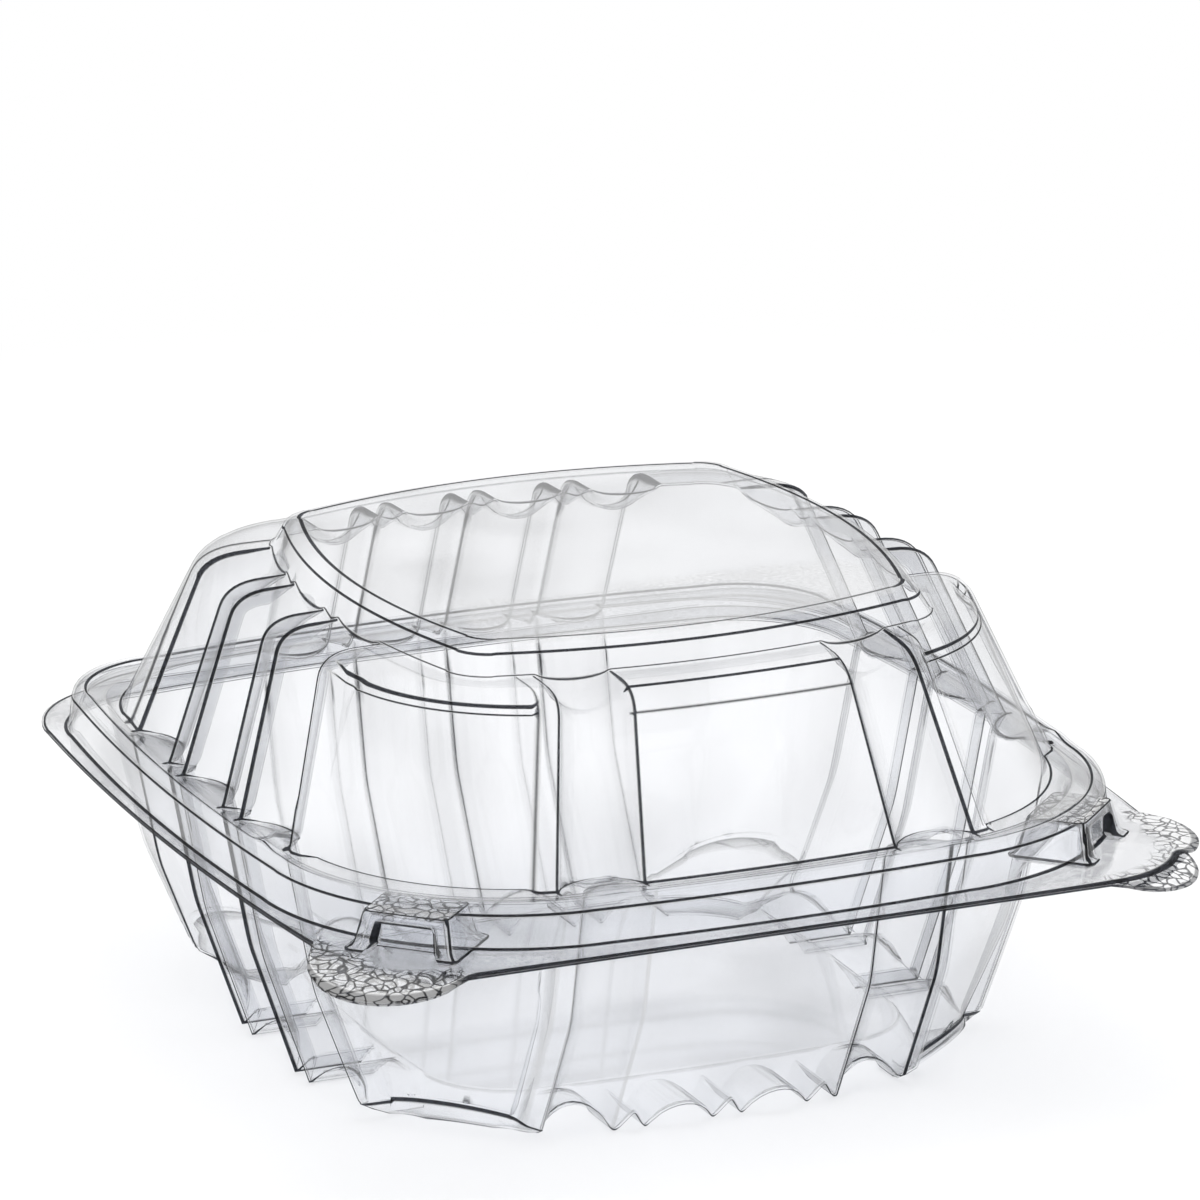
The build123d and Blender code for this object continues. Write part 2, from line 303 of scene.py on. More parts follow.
def betweenRows(before, here, share):
    mixed = [before[i] + (here[i] - before[i]) * share for i in range(3)]
    marks = before[3] + (here[3] - before[3]) * share
    marks[0] = np.minimum(before[3][3], here[3][3])
    return mixed + [marks, 0.0]


# marks of a row: strength of the painted dark edge line, grip, painted flank shade, crest line
def markedRow(x, y, z, ringLine, crest, grip=0.0, mask=1.0, shade=0.0):
    none = np.zeros_like(x)
    line = np.maximum(ringLine * mask + none, crest)
    return [x, y, z, np.stack([line, grip + none, shade + none, crest + none]), ringLine]


def formSheet(name, count, rows, faceUp):
    # a flat grid blank laid over the mould: rows of station points, the first row a pole
    rows = besideLines(rows)
    rings = len(rows)
    clearSelection()
    bpy.ops.mesh.primitive_grid_add(x_subdivisions=count, y_subdivisions=rings - 1, size=2)
    blank = bpy.context.object
    blank.name = name
    blank.data.name = name
    mesh = blank.data
    flat = np.empty(len(mesh.vertices) * 3)
    mesh.vertices.foreach_get("co", flat)
    flat = flat.reshape(-1, 3)
    station = np.rint((flat[:, 0] + 1) / 2 * count).astype(int) % count
    ring = np.rint((flat[:, 1] + 1) / 2 * (rings - 1)).astype(int)
    table = np.array([np.stack(row[:3], axis=1) for row in rows])
    mesh.vertices.foreach_set("co", (table[ring, station] * metre).ravel())
    marks = np.array([row[3] for row in rows])
    for i, word in enumerate(("paintedEdgeShade", "grip", "shade")):
        layer = mesh.attributes.new(word, "FLOAT", "POINT")
        layer.data.foreach_set("value", marks[ring, i, station].astype(np.float32))
    mesh.update()
    selectOnly(blank)
    bpy.ops.object.mode_set(mode="EDIT")
    bpy.ops.mesh.select_all(action="SELECT")
    bpy.ops.mesh.remove_doubles(threshold=gridValues["mergeDistance"])
    bpy.ops.mesh.normals_make_consistent(inside=False)
    bpy.ops.object.mode_set(mode="OBJECT")
    if faceUp is not None:
        highest = max(mesh.polygons, key=lambda face: abs(face.normal.z) * face.area)
        if (highest.normal.z > 0) != faceUp:
            mesh.flip_normals()
    return blank


def thicken(piece, amount, innerLines=0.22, keptBands=()):
    outer = len(piece.data.vertices)
    modifier = piece.modifiers.new("sheetThickness", "SOLIDIFY")
    modifier.thickness = amount * metre
    modifier.offset = -1
    modifier.use_even_offset = False
    selectOnly(piece)
    bpy.ops.object.modifier_apply(modifier=modifier.name)
    bpy.ops.object.shade_smooth()
    # the painted edge lines are fainter on the inner faces outside the kept bands; the far walls are seen
    # from inside, where their edges look softer
    mesh = piece.data
    count = len(mesh.vertices)
    line, place = np.empty(count), np.empty(count * 3)
    mesh.attributes["paintedEdgeShade"].data.foreach_get("value", line)
    mesh.vertices.foreach_get("co", place)
    height = place.reshape(-1, 3)[:, 2] / metre
    inner = np.arange(count) >= outer
    for low, high in keptBands:
        inner &= (height < low) | (height > high)
    mesh.attributes["paintedEdgeShade"].data.foreach_set("value", np.where(inner, line * innerLines, line))
    return piece


def planOut(x, y, stations):
    # plan direction out of every station; in the corners it is square to the ring
    outX, outY = stations.outward()
    corner = (outX == 0) & (outY == 0)
    tangentX = np.roll(x, -1) - np.roll(x, 1)
    tangentY = np.roll(y, -1) - np.roll(y, 1)
    length = np.hypot(tangentX, tangentY) + gridValues["tiny"]
    return np.where(corner, tangentY / length, outX), np.where(corner, -tangentX / length, outY)


def sheetMarks(stations, v, sideRow, backRow, frontWide, edge):
    # depth of the flutes, the sunk corner panels and the painted dark lines on the ridges of one sheet
    isSide, isBack, isFront = (np.isin(stations.kind, kinds) for kinds in ((0, 4), (2,), (6,)))
    depth = np.zeros(len(stations.kind))
    for zone, row, flute, gap in (
        (isSide, sideRow, v["sideFlute"], v["sideGap"]), (isBack, backRow, v["crossFlute"], v["crossGap"]),
        (isFront, (frontWide, []), v["frontFlute"], (1, 0)),
    ):
        depth[zone] = grooveDepth(stations.along[zone], *row, flute, gap)
    panel = np.isin(stations.kind, (5, 7)).astype(float)
    panelFrom, panelTo = v["panelFront"]
    panel[isFront] = smoothStep(edge + panelFrom, edge + panelTo, np.abs(stations.along[isFront]))
    panel[isSide] = 1 - smoothStep(*v["panelSide"], stations.along[isSide])
    outer = edge + v["outerCrest"]
    sideHalf, backHalf, frontHalf = v["crestHalf"]
    crest = crestShadeLine(stations, [
        ((0, 4), crestsOf(sideRow[0], v["sideFlute"][0]) + v["lastCrests"], sideHalf, v["sideLineShade"]),
        ((2,), crestsOf(backRow[0], v["crossFlute"][0]), backHalf, v["backLineShade"]),
        ((6,), [-outer] + crestsOf(frontWide, v["frontFlute"][0]) + [outer], frontHalf, v["frontLineShade"]),
    ])
    return isSide, isBack, isFront, depth, panel, crest


def stationsOf(v, sideRow, backRow, edge, frontMarks):
    return Sheet(
        v["sideRange"], v["backHalf"], edge + gridValues["frontMore"],
        marksOf(*sideRow, v["sideFlute"][0], v["sideGap"][0]),
        marksOf(*backRow, v["crossFlute"][0], v["crossGap"][0]), frontMarks, v["cornerSteps"],
    )


def layRows(stations, profile, depthOf, flareOf):
    # places every outline of a profile and presses the flutes into it; each step has its
    # outline o and how far the flutes press along the normal n, inward h and down z
    base = []
    for step in profile:
        x, y = stations.ring(step["o"], *flareOf(step["o"]))
        base.append(np.stack([x, y, np.full_like(x, step["o"][7])]))
    base = np.array(base)
    placed = []
    for k, step in enumerate(profile):
        here = base[k]
        before, after = base[max(k - 1, 0)], base[min(k + 1, len(base) - 1)]
        planX, planY = planOut(here[0], here[1], stations)
        run = (after[0] - before[0]) * planX + (after[1] - before[1]) * planY
        drop = after[2] - before[2]
        size = np.hypot(run, drop) + gridValues["tiny"]
        normalOut, normalUp = -drop / size, run / size
        depth = depthOf(step)
        inward = depth * (step.get("n", 0) * normalOut + step.get("h", 0))
        down = depth * (step.get("n", 0) * normalUp + step.get("z", 0))
        placed.append([here[0] - planX * inward, here[1] - planY * inward, here[2] - down])
    return placed


def beadOutline(v, size, grow, height):
    # the rim's outlines share their bows, and their corner radii grow with the size
    front, back = v["beadRadii"]
    return outline(*size, v["bow"], v["bow"], front + grow, back + grow, v["shift"], height)


tabValues = {"droop": 0.04, "droopFrom": 8.0, "droopPower": 1.6, "gripEdge": (-3.2, -1.8),
             "maskEdge": (0.3, 3.0), "rings": (0.12, 0.3, 0.5, 0.7, 0.88, 1.0)}


def flangeRows(inner, stations, edge, flare, tabs):
    # from the foot of the bead to the cut edge, moved out and bent down at the grip tabs
    v = tabValues
    innerX, innerY, innerZ = inner
    edgeX, edgeY = stations.ring(edge, *flare)
    farX, farY, extra = withTabs(innerX, innerY, edgeX, edgeY, tabs)
    reach = np.hypot(edgeX - innerX, edgeY - innerY)
    tabMask = smoothStep(*v["maskEdge"], extra)
    rows = []
    for share in v["rings"]:
        x, y = innerX + (farX - innerX) * share, innerY + (farY - innerY) * share
        gone = np.hypot(x - innerX, y - innerY)
        z = innerZ - v["droop"] * np.maximum(0, gone - v["droopFrom"]) ** v["droopPower"] * tabMask
        grip = tabMask * smoothStep(*v["gripEdge"], gone - reach)
        # the cut edge of the flange carries a painted dark line
        rows.append(markedRow(x, y, z, 1.0 if share == 1.0 else 0.0, 0 * x, grip))
    return rows


# lid
lidValues = {
    "plateau": (42.5, 43.0, 6.0, 6.0), "plateauRound": 1.5, "stepDraft": 1.6,
    "top": 76.0, "ledge": 71.3, "shelf": 44.6, "crest": 45.3, "flange": 38.6,
    "shoulder": (54.0, 54.0, 30.0, 22.0), "foot": (64.6, 65.4, 38.0, 26.0),
    "bow": 5.0, "domeBow": 7.0, "shift": 0.9, "shoulderRound": 3.8,
    "sideRow": (3, 19.4, 8.7), "sideRange": (-21.5, 39.0), "sideFlute": (13.5, 4.6), "sideGap": (4.9, 3.6),
    "backRow": (4, 15.8, 0.0), "backHalf": 31.5, "crossFlute": (10.5, 4.6), "crossGap": (4.3, 3.4),
    "frontFlute": (11.0, 4.4), "frontPlace": 23.0, "labelHalf": 17.4, "recess": 2.2,
    "frontFlare": 0.185, "sideFlare": 0.2, "sideFixed": 38.0, "cornerSteps": (30, 30, 46, 46),
    "trough": (66.0, 68.4), "beadIn": (66.7, 69.4), "beadTop": (67.2, 70.2), "beadEdge": (68.1, 71.1),
    "beadOut": (68.5, 71.5), "beadFoot": (69.3 - 0.15, 72.3 - 0.15), "beadSharp": (69.3, 72.3),
    "flangeIn": (69.3 + 0.55, 72.3 + 0.55), "beadRadii": (38.0, 17.0),
    "edge": (71.5, 75.9, 5.0, 0.01, 16.0, 21.0, 0.45), "tabs": [(-60.5, -64.5, 13.2), (62.7, -57.0, 10.9)],
    "lugs": [(-26.0, -63.0), (28.5, -63.0), (-63.0, -25.5), (63.0, -25.5)], "lugRise": 2.6, "lugSize": 2.4,
    "labelEnd": 17.6, "panelFront": (2.4, 3.4), "panelSide": (-20.9, -19.9), "panelTop": (71.3, 70.0),
    "lastCrests": [38.4], "outerCrest": 2.9, "sideLineShade": [0.75] * 6 + [0.38], "backLineShade": [0.6] * 8,
    "frontLineShade": [0.3, 0.6, 0.5, 1.0, 1.0, 0.5], "crestHalf": (0.3, 0.5, 0.2), "fluteEnds": (0.4, 2.0),
    "topRings": (0.0, 0.2, 0.42, 0.62, 0.78, 0.9),
    "wallRings": (0.05, 0.1, 0.2, 0.32, 0.44, 0.56, 0.68, 0.8, 0.9, 0.96),
    "wall": 0.35, "keptBands": [(36.0, 39.0), (65.0, 73.0)],
}
lidSideRow, backRow = rowOf(*lidValues["sideRow"]), rowOf(*lidValues["backRow"])
lidFrontWide = [-lidValues["frontPlace"], lidValues["frontPlace"]]
frontEdge = lidValues["frontPlace"] + lidValues["frontFlute"][0] / 2
lidFrontMarks = [frontEdge + mark for mark in gridValues["panelMarks"]] + [lidValues["labelHalf"]]
lidStations = stationsOf(lidValues, lidSideRow, backRow, frontEdge, [
    side * mark for side in (-1, 1) for mark in lidFrontMarks])


def lidProfile():
    v = lidValues
    pX, pY, pBow, pR = v["plateau"]
    plateau = outline(pX, pY, pBow, pBow, pR, pR, 0, v["top"])
    inset = v["plateauRound"]
    rimIn = outline(pX - inset, pY - inset, pBow, pBow, pR - 1, pR - 1, 0, v["top"])
    stepTop = outline(pX + 0.4, pY + 0.4, pBow, pBow, pR, pR, 0, v["top"] - inset)
    draft = v["stepDraft"]
    stepFoot = outline(pX + draft, pY + draft, pBow, pBow, pR + draft, pR + draft, 0, v["ledge"] + 0.6)
    ledgeIn = outline(pX + draft + 0.7, pY + draft + 0.7, pBow, pBow, pR + draft, pR + draft, 0.1, v["ledge"])
    sX, sY, sF, sB = v["shoulder"]
    shoulder = outline(sX, sY, v["domeBow"], v["bow"], sF, sB, v["shift"], v["ledge"])
    fX, fY, fF, fB = v["foot"]
    foot = outline(fX, fY, v["domeBow"], v["bow"], fF, fB, v["shift"], v["shelf"])
    roundShare = v["shoulderRound"] / math.hypot(fX - sX, v["ledge"] - v["shelf"])
    ledgeOut = blendOutline(shoulder, ledgeIn, 0.62)
    ledgeOut[7] = v["ledge"]
    wallTop = blendOutline(shoulder, foot, roundShare)
    # rows given a line value carry a painted dark line round the sheet: the plateau rim, the ledge, the wall
    # foot, the bead and its foot
    rows = [{"o": rimIn, "scale": scale} for scale in v["topRings"]]
    rimRow = len(rows)
    addRows(rows, roundOver(rimIn, plateau, stepTop, 6))
    rows[rimRow]["line"] = rows[-1]["line"] = 1.0
    addRows(rows, between(stepTop, stepFoot, (0.5,)))
    addRows(rows, [stepFoot], z=0.12)
    addRows(rows, between(stepFoot, ledgeIn, (0.6,)), z=0.25, line=0.45)
    addRows(rows, [ledgeIn], z=0.35)
    for share in (0.25, 0.5, 0.75):
        rows.append({"o": blendOutline(ledgeIn, ledgeOut, share), "z": 0.35 + 0.65 * share})
    # painted dark lines at the top of the label panel, the sunk corner panels and the back flute ends
    for i, o in enumerate(roundOver(ledgeOut, shoulder, wallTop, 8)):
        rows.append({"o": o, "n": 1, "panelLine": {3: 1.0, 8: 0.35}.get(i, 0),
                     "cornerLine": {4: 1.0, 6: 0.6}.get(i, 0),
                     "fluteLine": {2: 0.9}.get(i, 0)})
    addRows(rows, between(wallTop, foot, v["wallRings"]), n=1)
    footOut = foot.copy()
    footOut[:2] += 0.7
    trough = beadOutline(v, v["trough"], -1.6, v["shelf"])
    addRows(rows, between(foot, footOut, (0.15,)), h=1.1, line=1.0)
    addRows(rows, [footOut], h=0.95)
    addRows(rows, between(footOut, trough, (0.5,)), h=0.35)
    addRows(rows, [trough])
    beadIn = beadOutline(v, v["beadIn"], -1.0, v["crest"] - 0.3)
    beadTop = beadOutline(v, v["beadTop"], -0.6, v["crest"])
    beadEdge = beadOutline(v, v["beadEdge"], 0.0, v["crest"] + 0.05)
    beadOut = beadOutline(v, v["beadOut"], 0.4, v["crest"] - 1.6)
    addRows(rows, roundOver(trough, blendOutline(trough, beadIn, 0.55), beadIn, 3)[1:])
    rows[-1]["line"] = 0.9
    addRows(rows, roundOver(beadTop, beadEdge, beadOut, 6))
    rows[-1]["line"] = 1.0
    beadFoot = beadOutline(v, v["beadFoot"], 2, v["flange"] + 0.8)
    addRows(rows, between(beadOut, beadFoot, (0.5, 1.0)))
    flangeIn = beadOutline(v, v["flangeIn"], 2.4, v["flange"])
    sharp = beadOutline(v, v["beadSharp"], 2.2, v["flange"])
    addRows(rows, roundOver(beadFoot, sharp, flangeIn, 3)[1:])
    rows[-2]["line"] = 1.0
    return rows


def lidFlare(o):
    v = lidValues
    share = float(np.clip((v["ledge"] - o[7]) / (v["ledge"] - v["shelf"]), 0, 1))
    return 1 + v["frontFlare"] * share, 1 + v["sideFlare"] * share, v["sideFixed"]


def makeLid():
    v = lidValues
    st = lidStations
    profile = lidProfile()
    _, isBack, isFront, depth, panel, crest = sheetMarks(
        st, v, lidSideRow, backRow, lidFrontWide, frontEdge)
    label = (isFront & (np.abs(st.along) < v["labelEnd"])).astype(float)
    fluteEnds = isBack * smoothStep(*v["fluteEnds"], depth)

    def depthOf(step):
        # the corner panels lie sunk below the shoulder
        if not (step.get("n") or step.get("h")):
            return depth
        return np.maximum(depth, panel * v["recess"] * float(smoothStep(*v["panelTop"], step["o"][7])))

    placed = layRows(st, profile, depthOf, lidFlare)
    rows = []
    shade = flankShade(st, depth)
    for step, (x, y, z) in zip(profile, placed):
        if "scale" in step:
            x, y, z = x * step["scale"], y * step["scale"], np.full_like(z, v["top"])
        if v["shelf"] - 0.1 < step["o"][7] < v["shelf"] + 5 and "scale" not in step:
            for lugX, lugY in v["lugs"]:
                z = z + v["lugRise"] * np.exp(-((x - lugX) ** 2 + (y - lugY) ** 2) / v["lugSize"] ** 2)
        # each row's painted shade: the ring line, masked to its zone, and the crest lines and flank shade on
        # the fluted rows
        ridged = bool(step.get("n") or step.get("h", 0) > 0.9 or step.get("z", 0) > 0.3)
        level, mask = step.get("line", 0.0), 1.0
        for word, zone in (("panelLine", label), ("cornerLine", panel), ("fluteLine", fluteEnds)):
            if step.get(word):
                mask = zone * step[word] + (0 if level == 0 else mask * level)
                level = 1.0
        rows.append(markedRow(x, y, z, level, crest * ridged, mask=mask, shade=shade * ridged))
    edge = outline(*v["edge"], v["flange"])
    rows += flangeRows(rows[-1][:3], st, edge, lidFlare(edge), v["tabs"])
    return formSheet("lidSheet", len(st.kind), rows, True)


lid = makeLid()
thicken(lid, lidValues["wall"], keptBands=lidValues["keptBands"])
print("lid sheet", len(lid.data.vertices), "points")

# tray
trayValues = {
    "floor": 4.0, "panel": (40.0, 38.0, 2.0, 14.0), "panelDraft": 2.0,
    "foot": (53.0, 49.5, 25.0, 15.0), "waist": (60.5, 61.0, 35.0, 16.0), "waistHeight": 22.0,
    "mouth": (64.5, 65.5, 36.0, 16.0), "mouthHeight": 44.1, "flange": 37.9,
    "bow": 5.0, "shift": 0.9,
    "sideRow": (3, 23.5, 4.1), "sideRange": (-31.5, 41.0), "sideFlute": (18.0, 4.6), "sideGap": (5.0, 3.4),
    "backHalf": 31.5, "crossFlute": (10.5, 4.6), "crossGap": (4.3, 3.4),
    "frontFlute": (11.0, 4.4), "frontPlace": 24.4, "cornerSteps": (30, 30, 46, 46),
    "stripFlute": (10.5, 3.4), "stripGap": (4.3, 3.2), "stripPlace": 15.8,
    "slopeReach": 52.5, "slope": math.tan(math.radians(30)), "recess": 3.4, "recessTop": 34.0,
    "beadTop": (66.6 - 1.0, 69.6 - 1.0), "beadEdge": (66.6 + 0.1, 69.6 + 0.1),
    "beadOut": (66.6 + 0.35, 69.6 + 0.35), "beadFoot": (68.5, 71.5), "beadSharp": (68.6, 71.6),
    "flangeIn": (69.1, 72.1), "beadRadii": (37.3, 16.3),
    "edge": (71.5, 75.9 + 0.45, 5.0, 0.01, 16.0, 21.0, 0.85),
    "tabs": [(-60.5, -64.5, 12.9), (57.5, -66.9, 10.9)],
    "sideLineShade": [0.6] * 6, "backLineShade": [0.45] * 8, "frontLineShade": [0.1, 0.3, 0.12, 0.7, 0.8, 0.4],
    "crestHalf": (0.4, 0.5, 0.2), "lastCrests": [], "flankShare": 0.5, "outerCrest": 2.9,
    "panelFront": (2.4, 3.4), "panelSide": (-31.2, -30.2), "recessSoft": 0.8, "toeRise": 0.4,
    "stripMarks": [18.8, 13.4, 2.4], "floorRings": (0.0, 0.2, 0.42, 0.62, 0.8, 0.92, 0.985),
    "slopeRings": (0.0, 0.3, 0.6, 0.85), "lowRings": (0.05, 0.1, 0.17, 0.25, 0.36, 0.48, 0.62, 0.76, 0.88),
    "highRings": (0.28, 0.42, 0.56, 0.7, 0.84, 0.94, 1.0),
    "wall": 0.35, "keptBands": [(36.0, 38.2)],
}
traySideRow = rowOf(*trayValues["sideRow"])
trayFrontWide = [-trayValues["frontPlace"], trayValues["frontPlace"]]
trayFrontEdge = trayValues["frontPlace"] + trayValues["frontFlute"][0] / 2
stripPlace = trayValues["stripPlace"]
stripRow = [-stripPlace / 2, stripPlace / 2], [0.0, -stripPlace, stripPlace]
trayFrontMarks = [trayFrontEdge + mark for mark in gridValues["panelMarks"]] + trayValues["stripMarks"]
trayStations = stationsOf(trayValues, traySideRow, backRow, trayFrontEdge, [
    side * mark for side in (-1, 1) for mark in trayFrontMarks] + [0.0, stripPlace, -stripPlace])


def trayProfile():
    v = trayValues
    pX, pY, pBow, pR = v["panel"]
    floor = outline(pX, pY, pBow, pBow, pR, pR, 0, v["floor"])
    low = v["panelDraft"]
    panelFoot = outline(pX + low, pY + low, pBow, pBow, pR, pR, 0, 0)
    fX, fY, fF, fB = v["foot"]
    foot = outline(fX, fY, v["bow"], v["bow"], fF, fB, v["shift"], 0)
    wX, wY, wF, wB = v["waist"]
    waist = outline(wX, wY, v["bow"], v["bow"], wF, wB, v["shift"], v["waistHeight"])
    mX, mY, mF, mB = v["mouth"]
    mouth = outline(mX, mY, v["bow"], v["bow"], mF, mB, v["shift"], v["mouthHeight"] - 0.6)
    # rows given a line value carry a painted dark line round the sheet: the floor edge, the toe, the mouth,
    # the bead and its foot
    rows = [{"o": floor, "scale": scale, "kind": "floor"} for scale in v["floorRings"]]
    addRows(rows, between(floor, panelFoot, v["slopeRings"]), kind="slope")
    rows[len(v["floorRings"])]["line"] = 0.5
    addRows(rows, between(panelFoot, foot, v["slopeRings"]), kind="under")
    addRows(rows, [foot], kind="toe", line=0.9)
    addRows(rows, between(foot, waist, v["lowRings"]), kind="wall")
    waistLow, waistHigh = blendOutline(foot, waist, 0.93), blendOutline(waist, mouth, 0.14)
    addRows(rows, roundOver(waistLow, waist, waistHigh, 4), kind="wall")
    addRows(rows, between(waist, mouth, v["highRings"]), kind="wall")
    top = v["mouthHeight"]
    mouthOut = mouth.copy()
    mouthOut[:2] += 0.4
    mouthOut[7] = top
    beadTop = beadOutline(v, v["beadTop"], -1, top)
    addRows(rows, [mouthOut], kind="shelf", line=0.7)
    addRows(rows, between(mouthOut, beadTop, (0.5,)), kind="shelf")
    beadEdge = beadOutline(v, v["beadEdge"], 0, top)
    beadOut = beadOutline(v, v["beadOut"], 0.2, top - 1.2)
    addRows(rows, roundOver(beadTop, beadEdge, beadOut, 5), kind="bead")
    rows[-1]["line"] = 0.7
    beadFoot = beadOutline(v, v["beadFoot"], 2, v["flange"] + 0.7)
    addRows(rows, between(beadOut, beadFoot, (0.5, 1.0)), kind="bead")
    sharp = beadOutline(v, v["beadSharp"], 2, v["flange"])
    flangeIn = beadOutline(v, v["flangeIn"], 2.2, v["flange"])
    addRows(rows, roundOver(beadFoot, sharp, flangeIn, 3)[1:], kind="bead")
    rows[-2]["line"] = 0.8
    return rows


def makeTray():
    v = trayValues
    st = trayStations
    profile = trayProfile()
    isSide, _, isFront, depth, panel, crest = sheetMarks(
        st, v, traySideRow, backRow, trayFrontWide, trayFrontEdge)
    strip = np.zeros(len(st.kind))
    strip[isFront] = grooveDepth(st.along[isFront], *stripRow, v["stripFlute"], v["stripGap"])
    corner = np.isin(st.kind, (1, 3, 5, 7))
    slopeX = (v["waist"][0] - v["foot"][0]) / v["waistHeight"]
    slopeY = (v["waist"][1] - v["foot"][1]) / v["waistHeight"]
    slope = np.where(isSide, slopeX, np.where(corner, (slopeX + slopeY) / 2, slopeY))
    normalOut = 1 / np.hypot(1, slope)
    rows = []
    base = []
    for step in profile:
        x, y = st.ring(step["o"])
        base.append([x, y, np.full_like(x, step["o"][7])])
    base = np.array(base)
    shade = flankShade(st, depth) * v["flankShare"]

    def sloped(x, y):
        # the underside rises past a line across each corner
        return v["slope"] * np.maximum(0, (np.abs(x) + np.abs(y)) / math.sqrt(2) - v["slopeReach"])

    toeRow = next(k for k, step in enumerate(profile) if step["kind"] == "toe")
    lift = sloped(base[toeRow, 0], base[toeRow, 1]) / (1 - v["slope"] * slope)
    for k, step in enumerate(profile):
        x, y, z = base[k].copy()
        planX, planY = planOut(x, y, st)
        kind = step["kind"]
        raised = np.maximum(depth, strip)
        soft = v["recessSoft"]
        sunk = float(smoothStep(v["recessTop"] + soft, v["recessTop"] - soft, step["o"][7]))
        pressed = np.maximum(depth, panel * v["recess"] * sunk)
        if kind == "floor":
            x, y = x * step["scale"], y * step["scale"]
        elif kind == "slope":
            z = np.maximum(z, np.minimum(raised, v["floor"]))
        elif kind == "under":
            z = np.maximum(z, np.maximum(raised, sloped(x, y)))
            z = np.minimum(z, np.maximum(v["floor"], raised))
        elif kind == "toe":
            z = np.maximum(raised, lift)
            shiftOut = slope * z - pressed / normalOut
            x, y = x + planX * shiftOut, y + planY * shiftOut
        elif kind == "wall":
            height = z.copy()
            lowest = np.maximum(raised, lift)
            rise = lowest + v["toeRise"]
            z = np.where(z < rise, rise + 0.05 * z, z)  # keeps the rings above the toe apart
            shiftOut = slope * (z - height) - pressed / normalOut
            x, y = x + planX * shiftOut, y + planY * shiftOut
        # crest lines and flank shade, both painted shade, go only on the fluted rows
        ridged = kind in ("under", "toe", "wall")
        rows.append(markedRow(x, y, z, step.get("line", 0.0), crest * ridged, shade=shade * ridged))
    edge = outline(*v["edge"], v["flange"])
    rows += flangeRows(rows[-1][:3], st, edge, (1.0, 1.0, 0.0), v["tabs"])
    return formSheet("traySheet", len(st.kind), rows, False)


tray = makeTray()
thicken(tray, trayValues["wall"], keptBands=trayValues["keptBands"])
print("tray sheet", len(tray.data.vertices), "points")


# material
pureWhite = (1, 1, 1, 1)


class Socket:
    # one output socket, so that shader sums read as sums
    def __init__(self, tree, output):
        self.tree, self.output = tree, output

    def math(self, operation, other=None, swap=False):
        node = self.tree.nodes.new("ShaderNodeMath")
        node.operation = operation
        first, second = (1, 0) if swap else (0, 1)
        self.tree.links.new(self.output, node.inputs[first])
        if isinstance(other, Socket):
            self.tree.links.new(other.output, node.inputs[second])
        elif other is not None:
            node.inputs[second].default_value = other
        return Socket(self.tree, node.outputs[0])

    def __add__(self, other): return self.math("ADD", other)
    def __radd__(self, other): return self.math("ADD", other)
    def __sub__(self, other): return self.math("SUBTRACT", other)
    def __rsub__(self, other): return self.math("SUBTRACT", other, swap=True)
    def __mul__(self, other): return self.math("MULTIPLY", other)
    def __rmul__(self, other): return self.math("MULTIPLY", other)
    def __truediv__(self, other): return self.math("DIVIDE", other)
    def __pow__(self, other): return self.math("POWER", other)

    def node(self, kind, socket=0, output=0, **values):
        # feeds this socket into a new node and gives back one of its outputs
        return makeNode(self.tree, kind, output, links={socket: self}, **values)


def makeNode(tree, kind, output=0, links=None, inputs=None, **values):
    node = tree.nodes.new("ShaderNode" + kind)
    for word, value in values.items():
        setattr(node, word, value)
    for word, value in (inputs or {}).items():
        node.inputs[word].default_value = value
    for word, source in (links or {}).items():
        tree.links.new(source.output, node.inputs[word])
    return Socket(tree, node.outputs[output])


sheetLook = {
    "clear": (0.952, 0.957, 0.968, 1), "dark": (0.02, 0.023, 0.031, 1), "roughness": 0.05,
    "slantTint": 0.17, "edgeTint": 0.7, "lineShadeWeight": 0.97, "plainGloss": 0.05, "slantGloss": 0.85,
    "flankShadeWeight": 0.06, "streakTint": 0.3, "glint": 0.55, "letThrough": 0.75,
    "lineShadeGain": 3.6, "lineShadeDulls": 0.85, "glintRise": 9.0, "glintFall": 2.6,
    "streakScale": 55.0, "streakGain": 1.2, "streakBase": 0.4, "darkest": 0.97,
}
gripLook = {
    "warpScale": 300.0, "warpReach": 0.0026, "cellScale": 520.0, "outline": (0.025, 0.11),
    "outlineTint": 1.9, "fleckScale": 900.0, "fleckFrom": 0.52, "fleckTint": 0.6, "gloss": 0.35,
}
frostLook = {
    "backEdge": (-0.014, -0.024), "sideEdge": (0.035, 0.030), "front": (-0.044, -0.020),
    "frontLeast": 0.35, "wanderScale": 120.0, "wander": 2.0, "zoneGain": 2.2, "zoneFrom": 1.6,
    "grainScale": 1500.0, "grain": 0.5, "grainFrom": 0.1, "gloss": 0.18,
    "above": 0.0755, "before": -0.010,
}


def ramp(value, fromMin, fromMax, toMin, toMax):
    return value.node("MapRange", "Value", 0, inputs={
        "From Min": fromMin, "From Max": fromMax, "To Min": toMin, "To Max": toMax})


def noise(place, scale, detail, output="Fac"):
    return place.node("TexNoise", "Vector", output, inputs={"Scale": scale, "Detail": detail})


def emptyTree(owner):
    owner.use_nodes = True
    owner.node_tree.nodes.clear()
    return owner.node_tree


def showShader(tree, shader, kind="OutputMaterial"):
    tree.links.new(shader.output, tree.nodes.new("ShaderNode" + kind).inputs["Surface"])


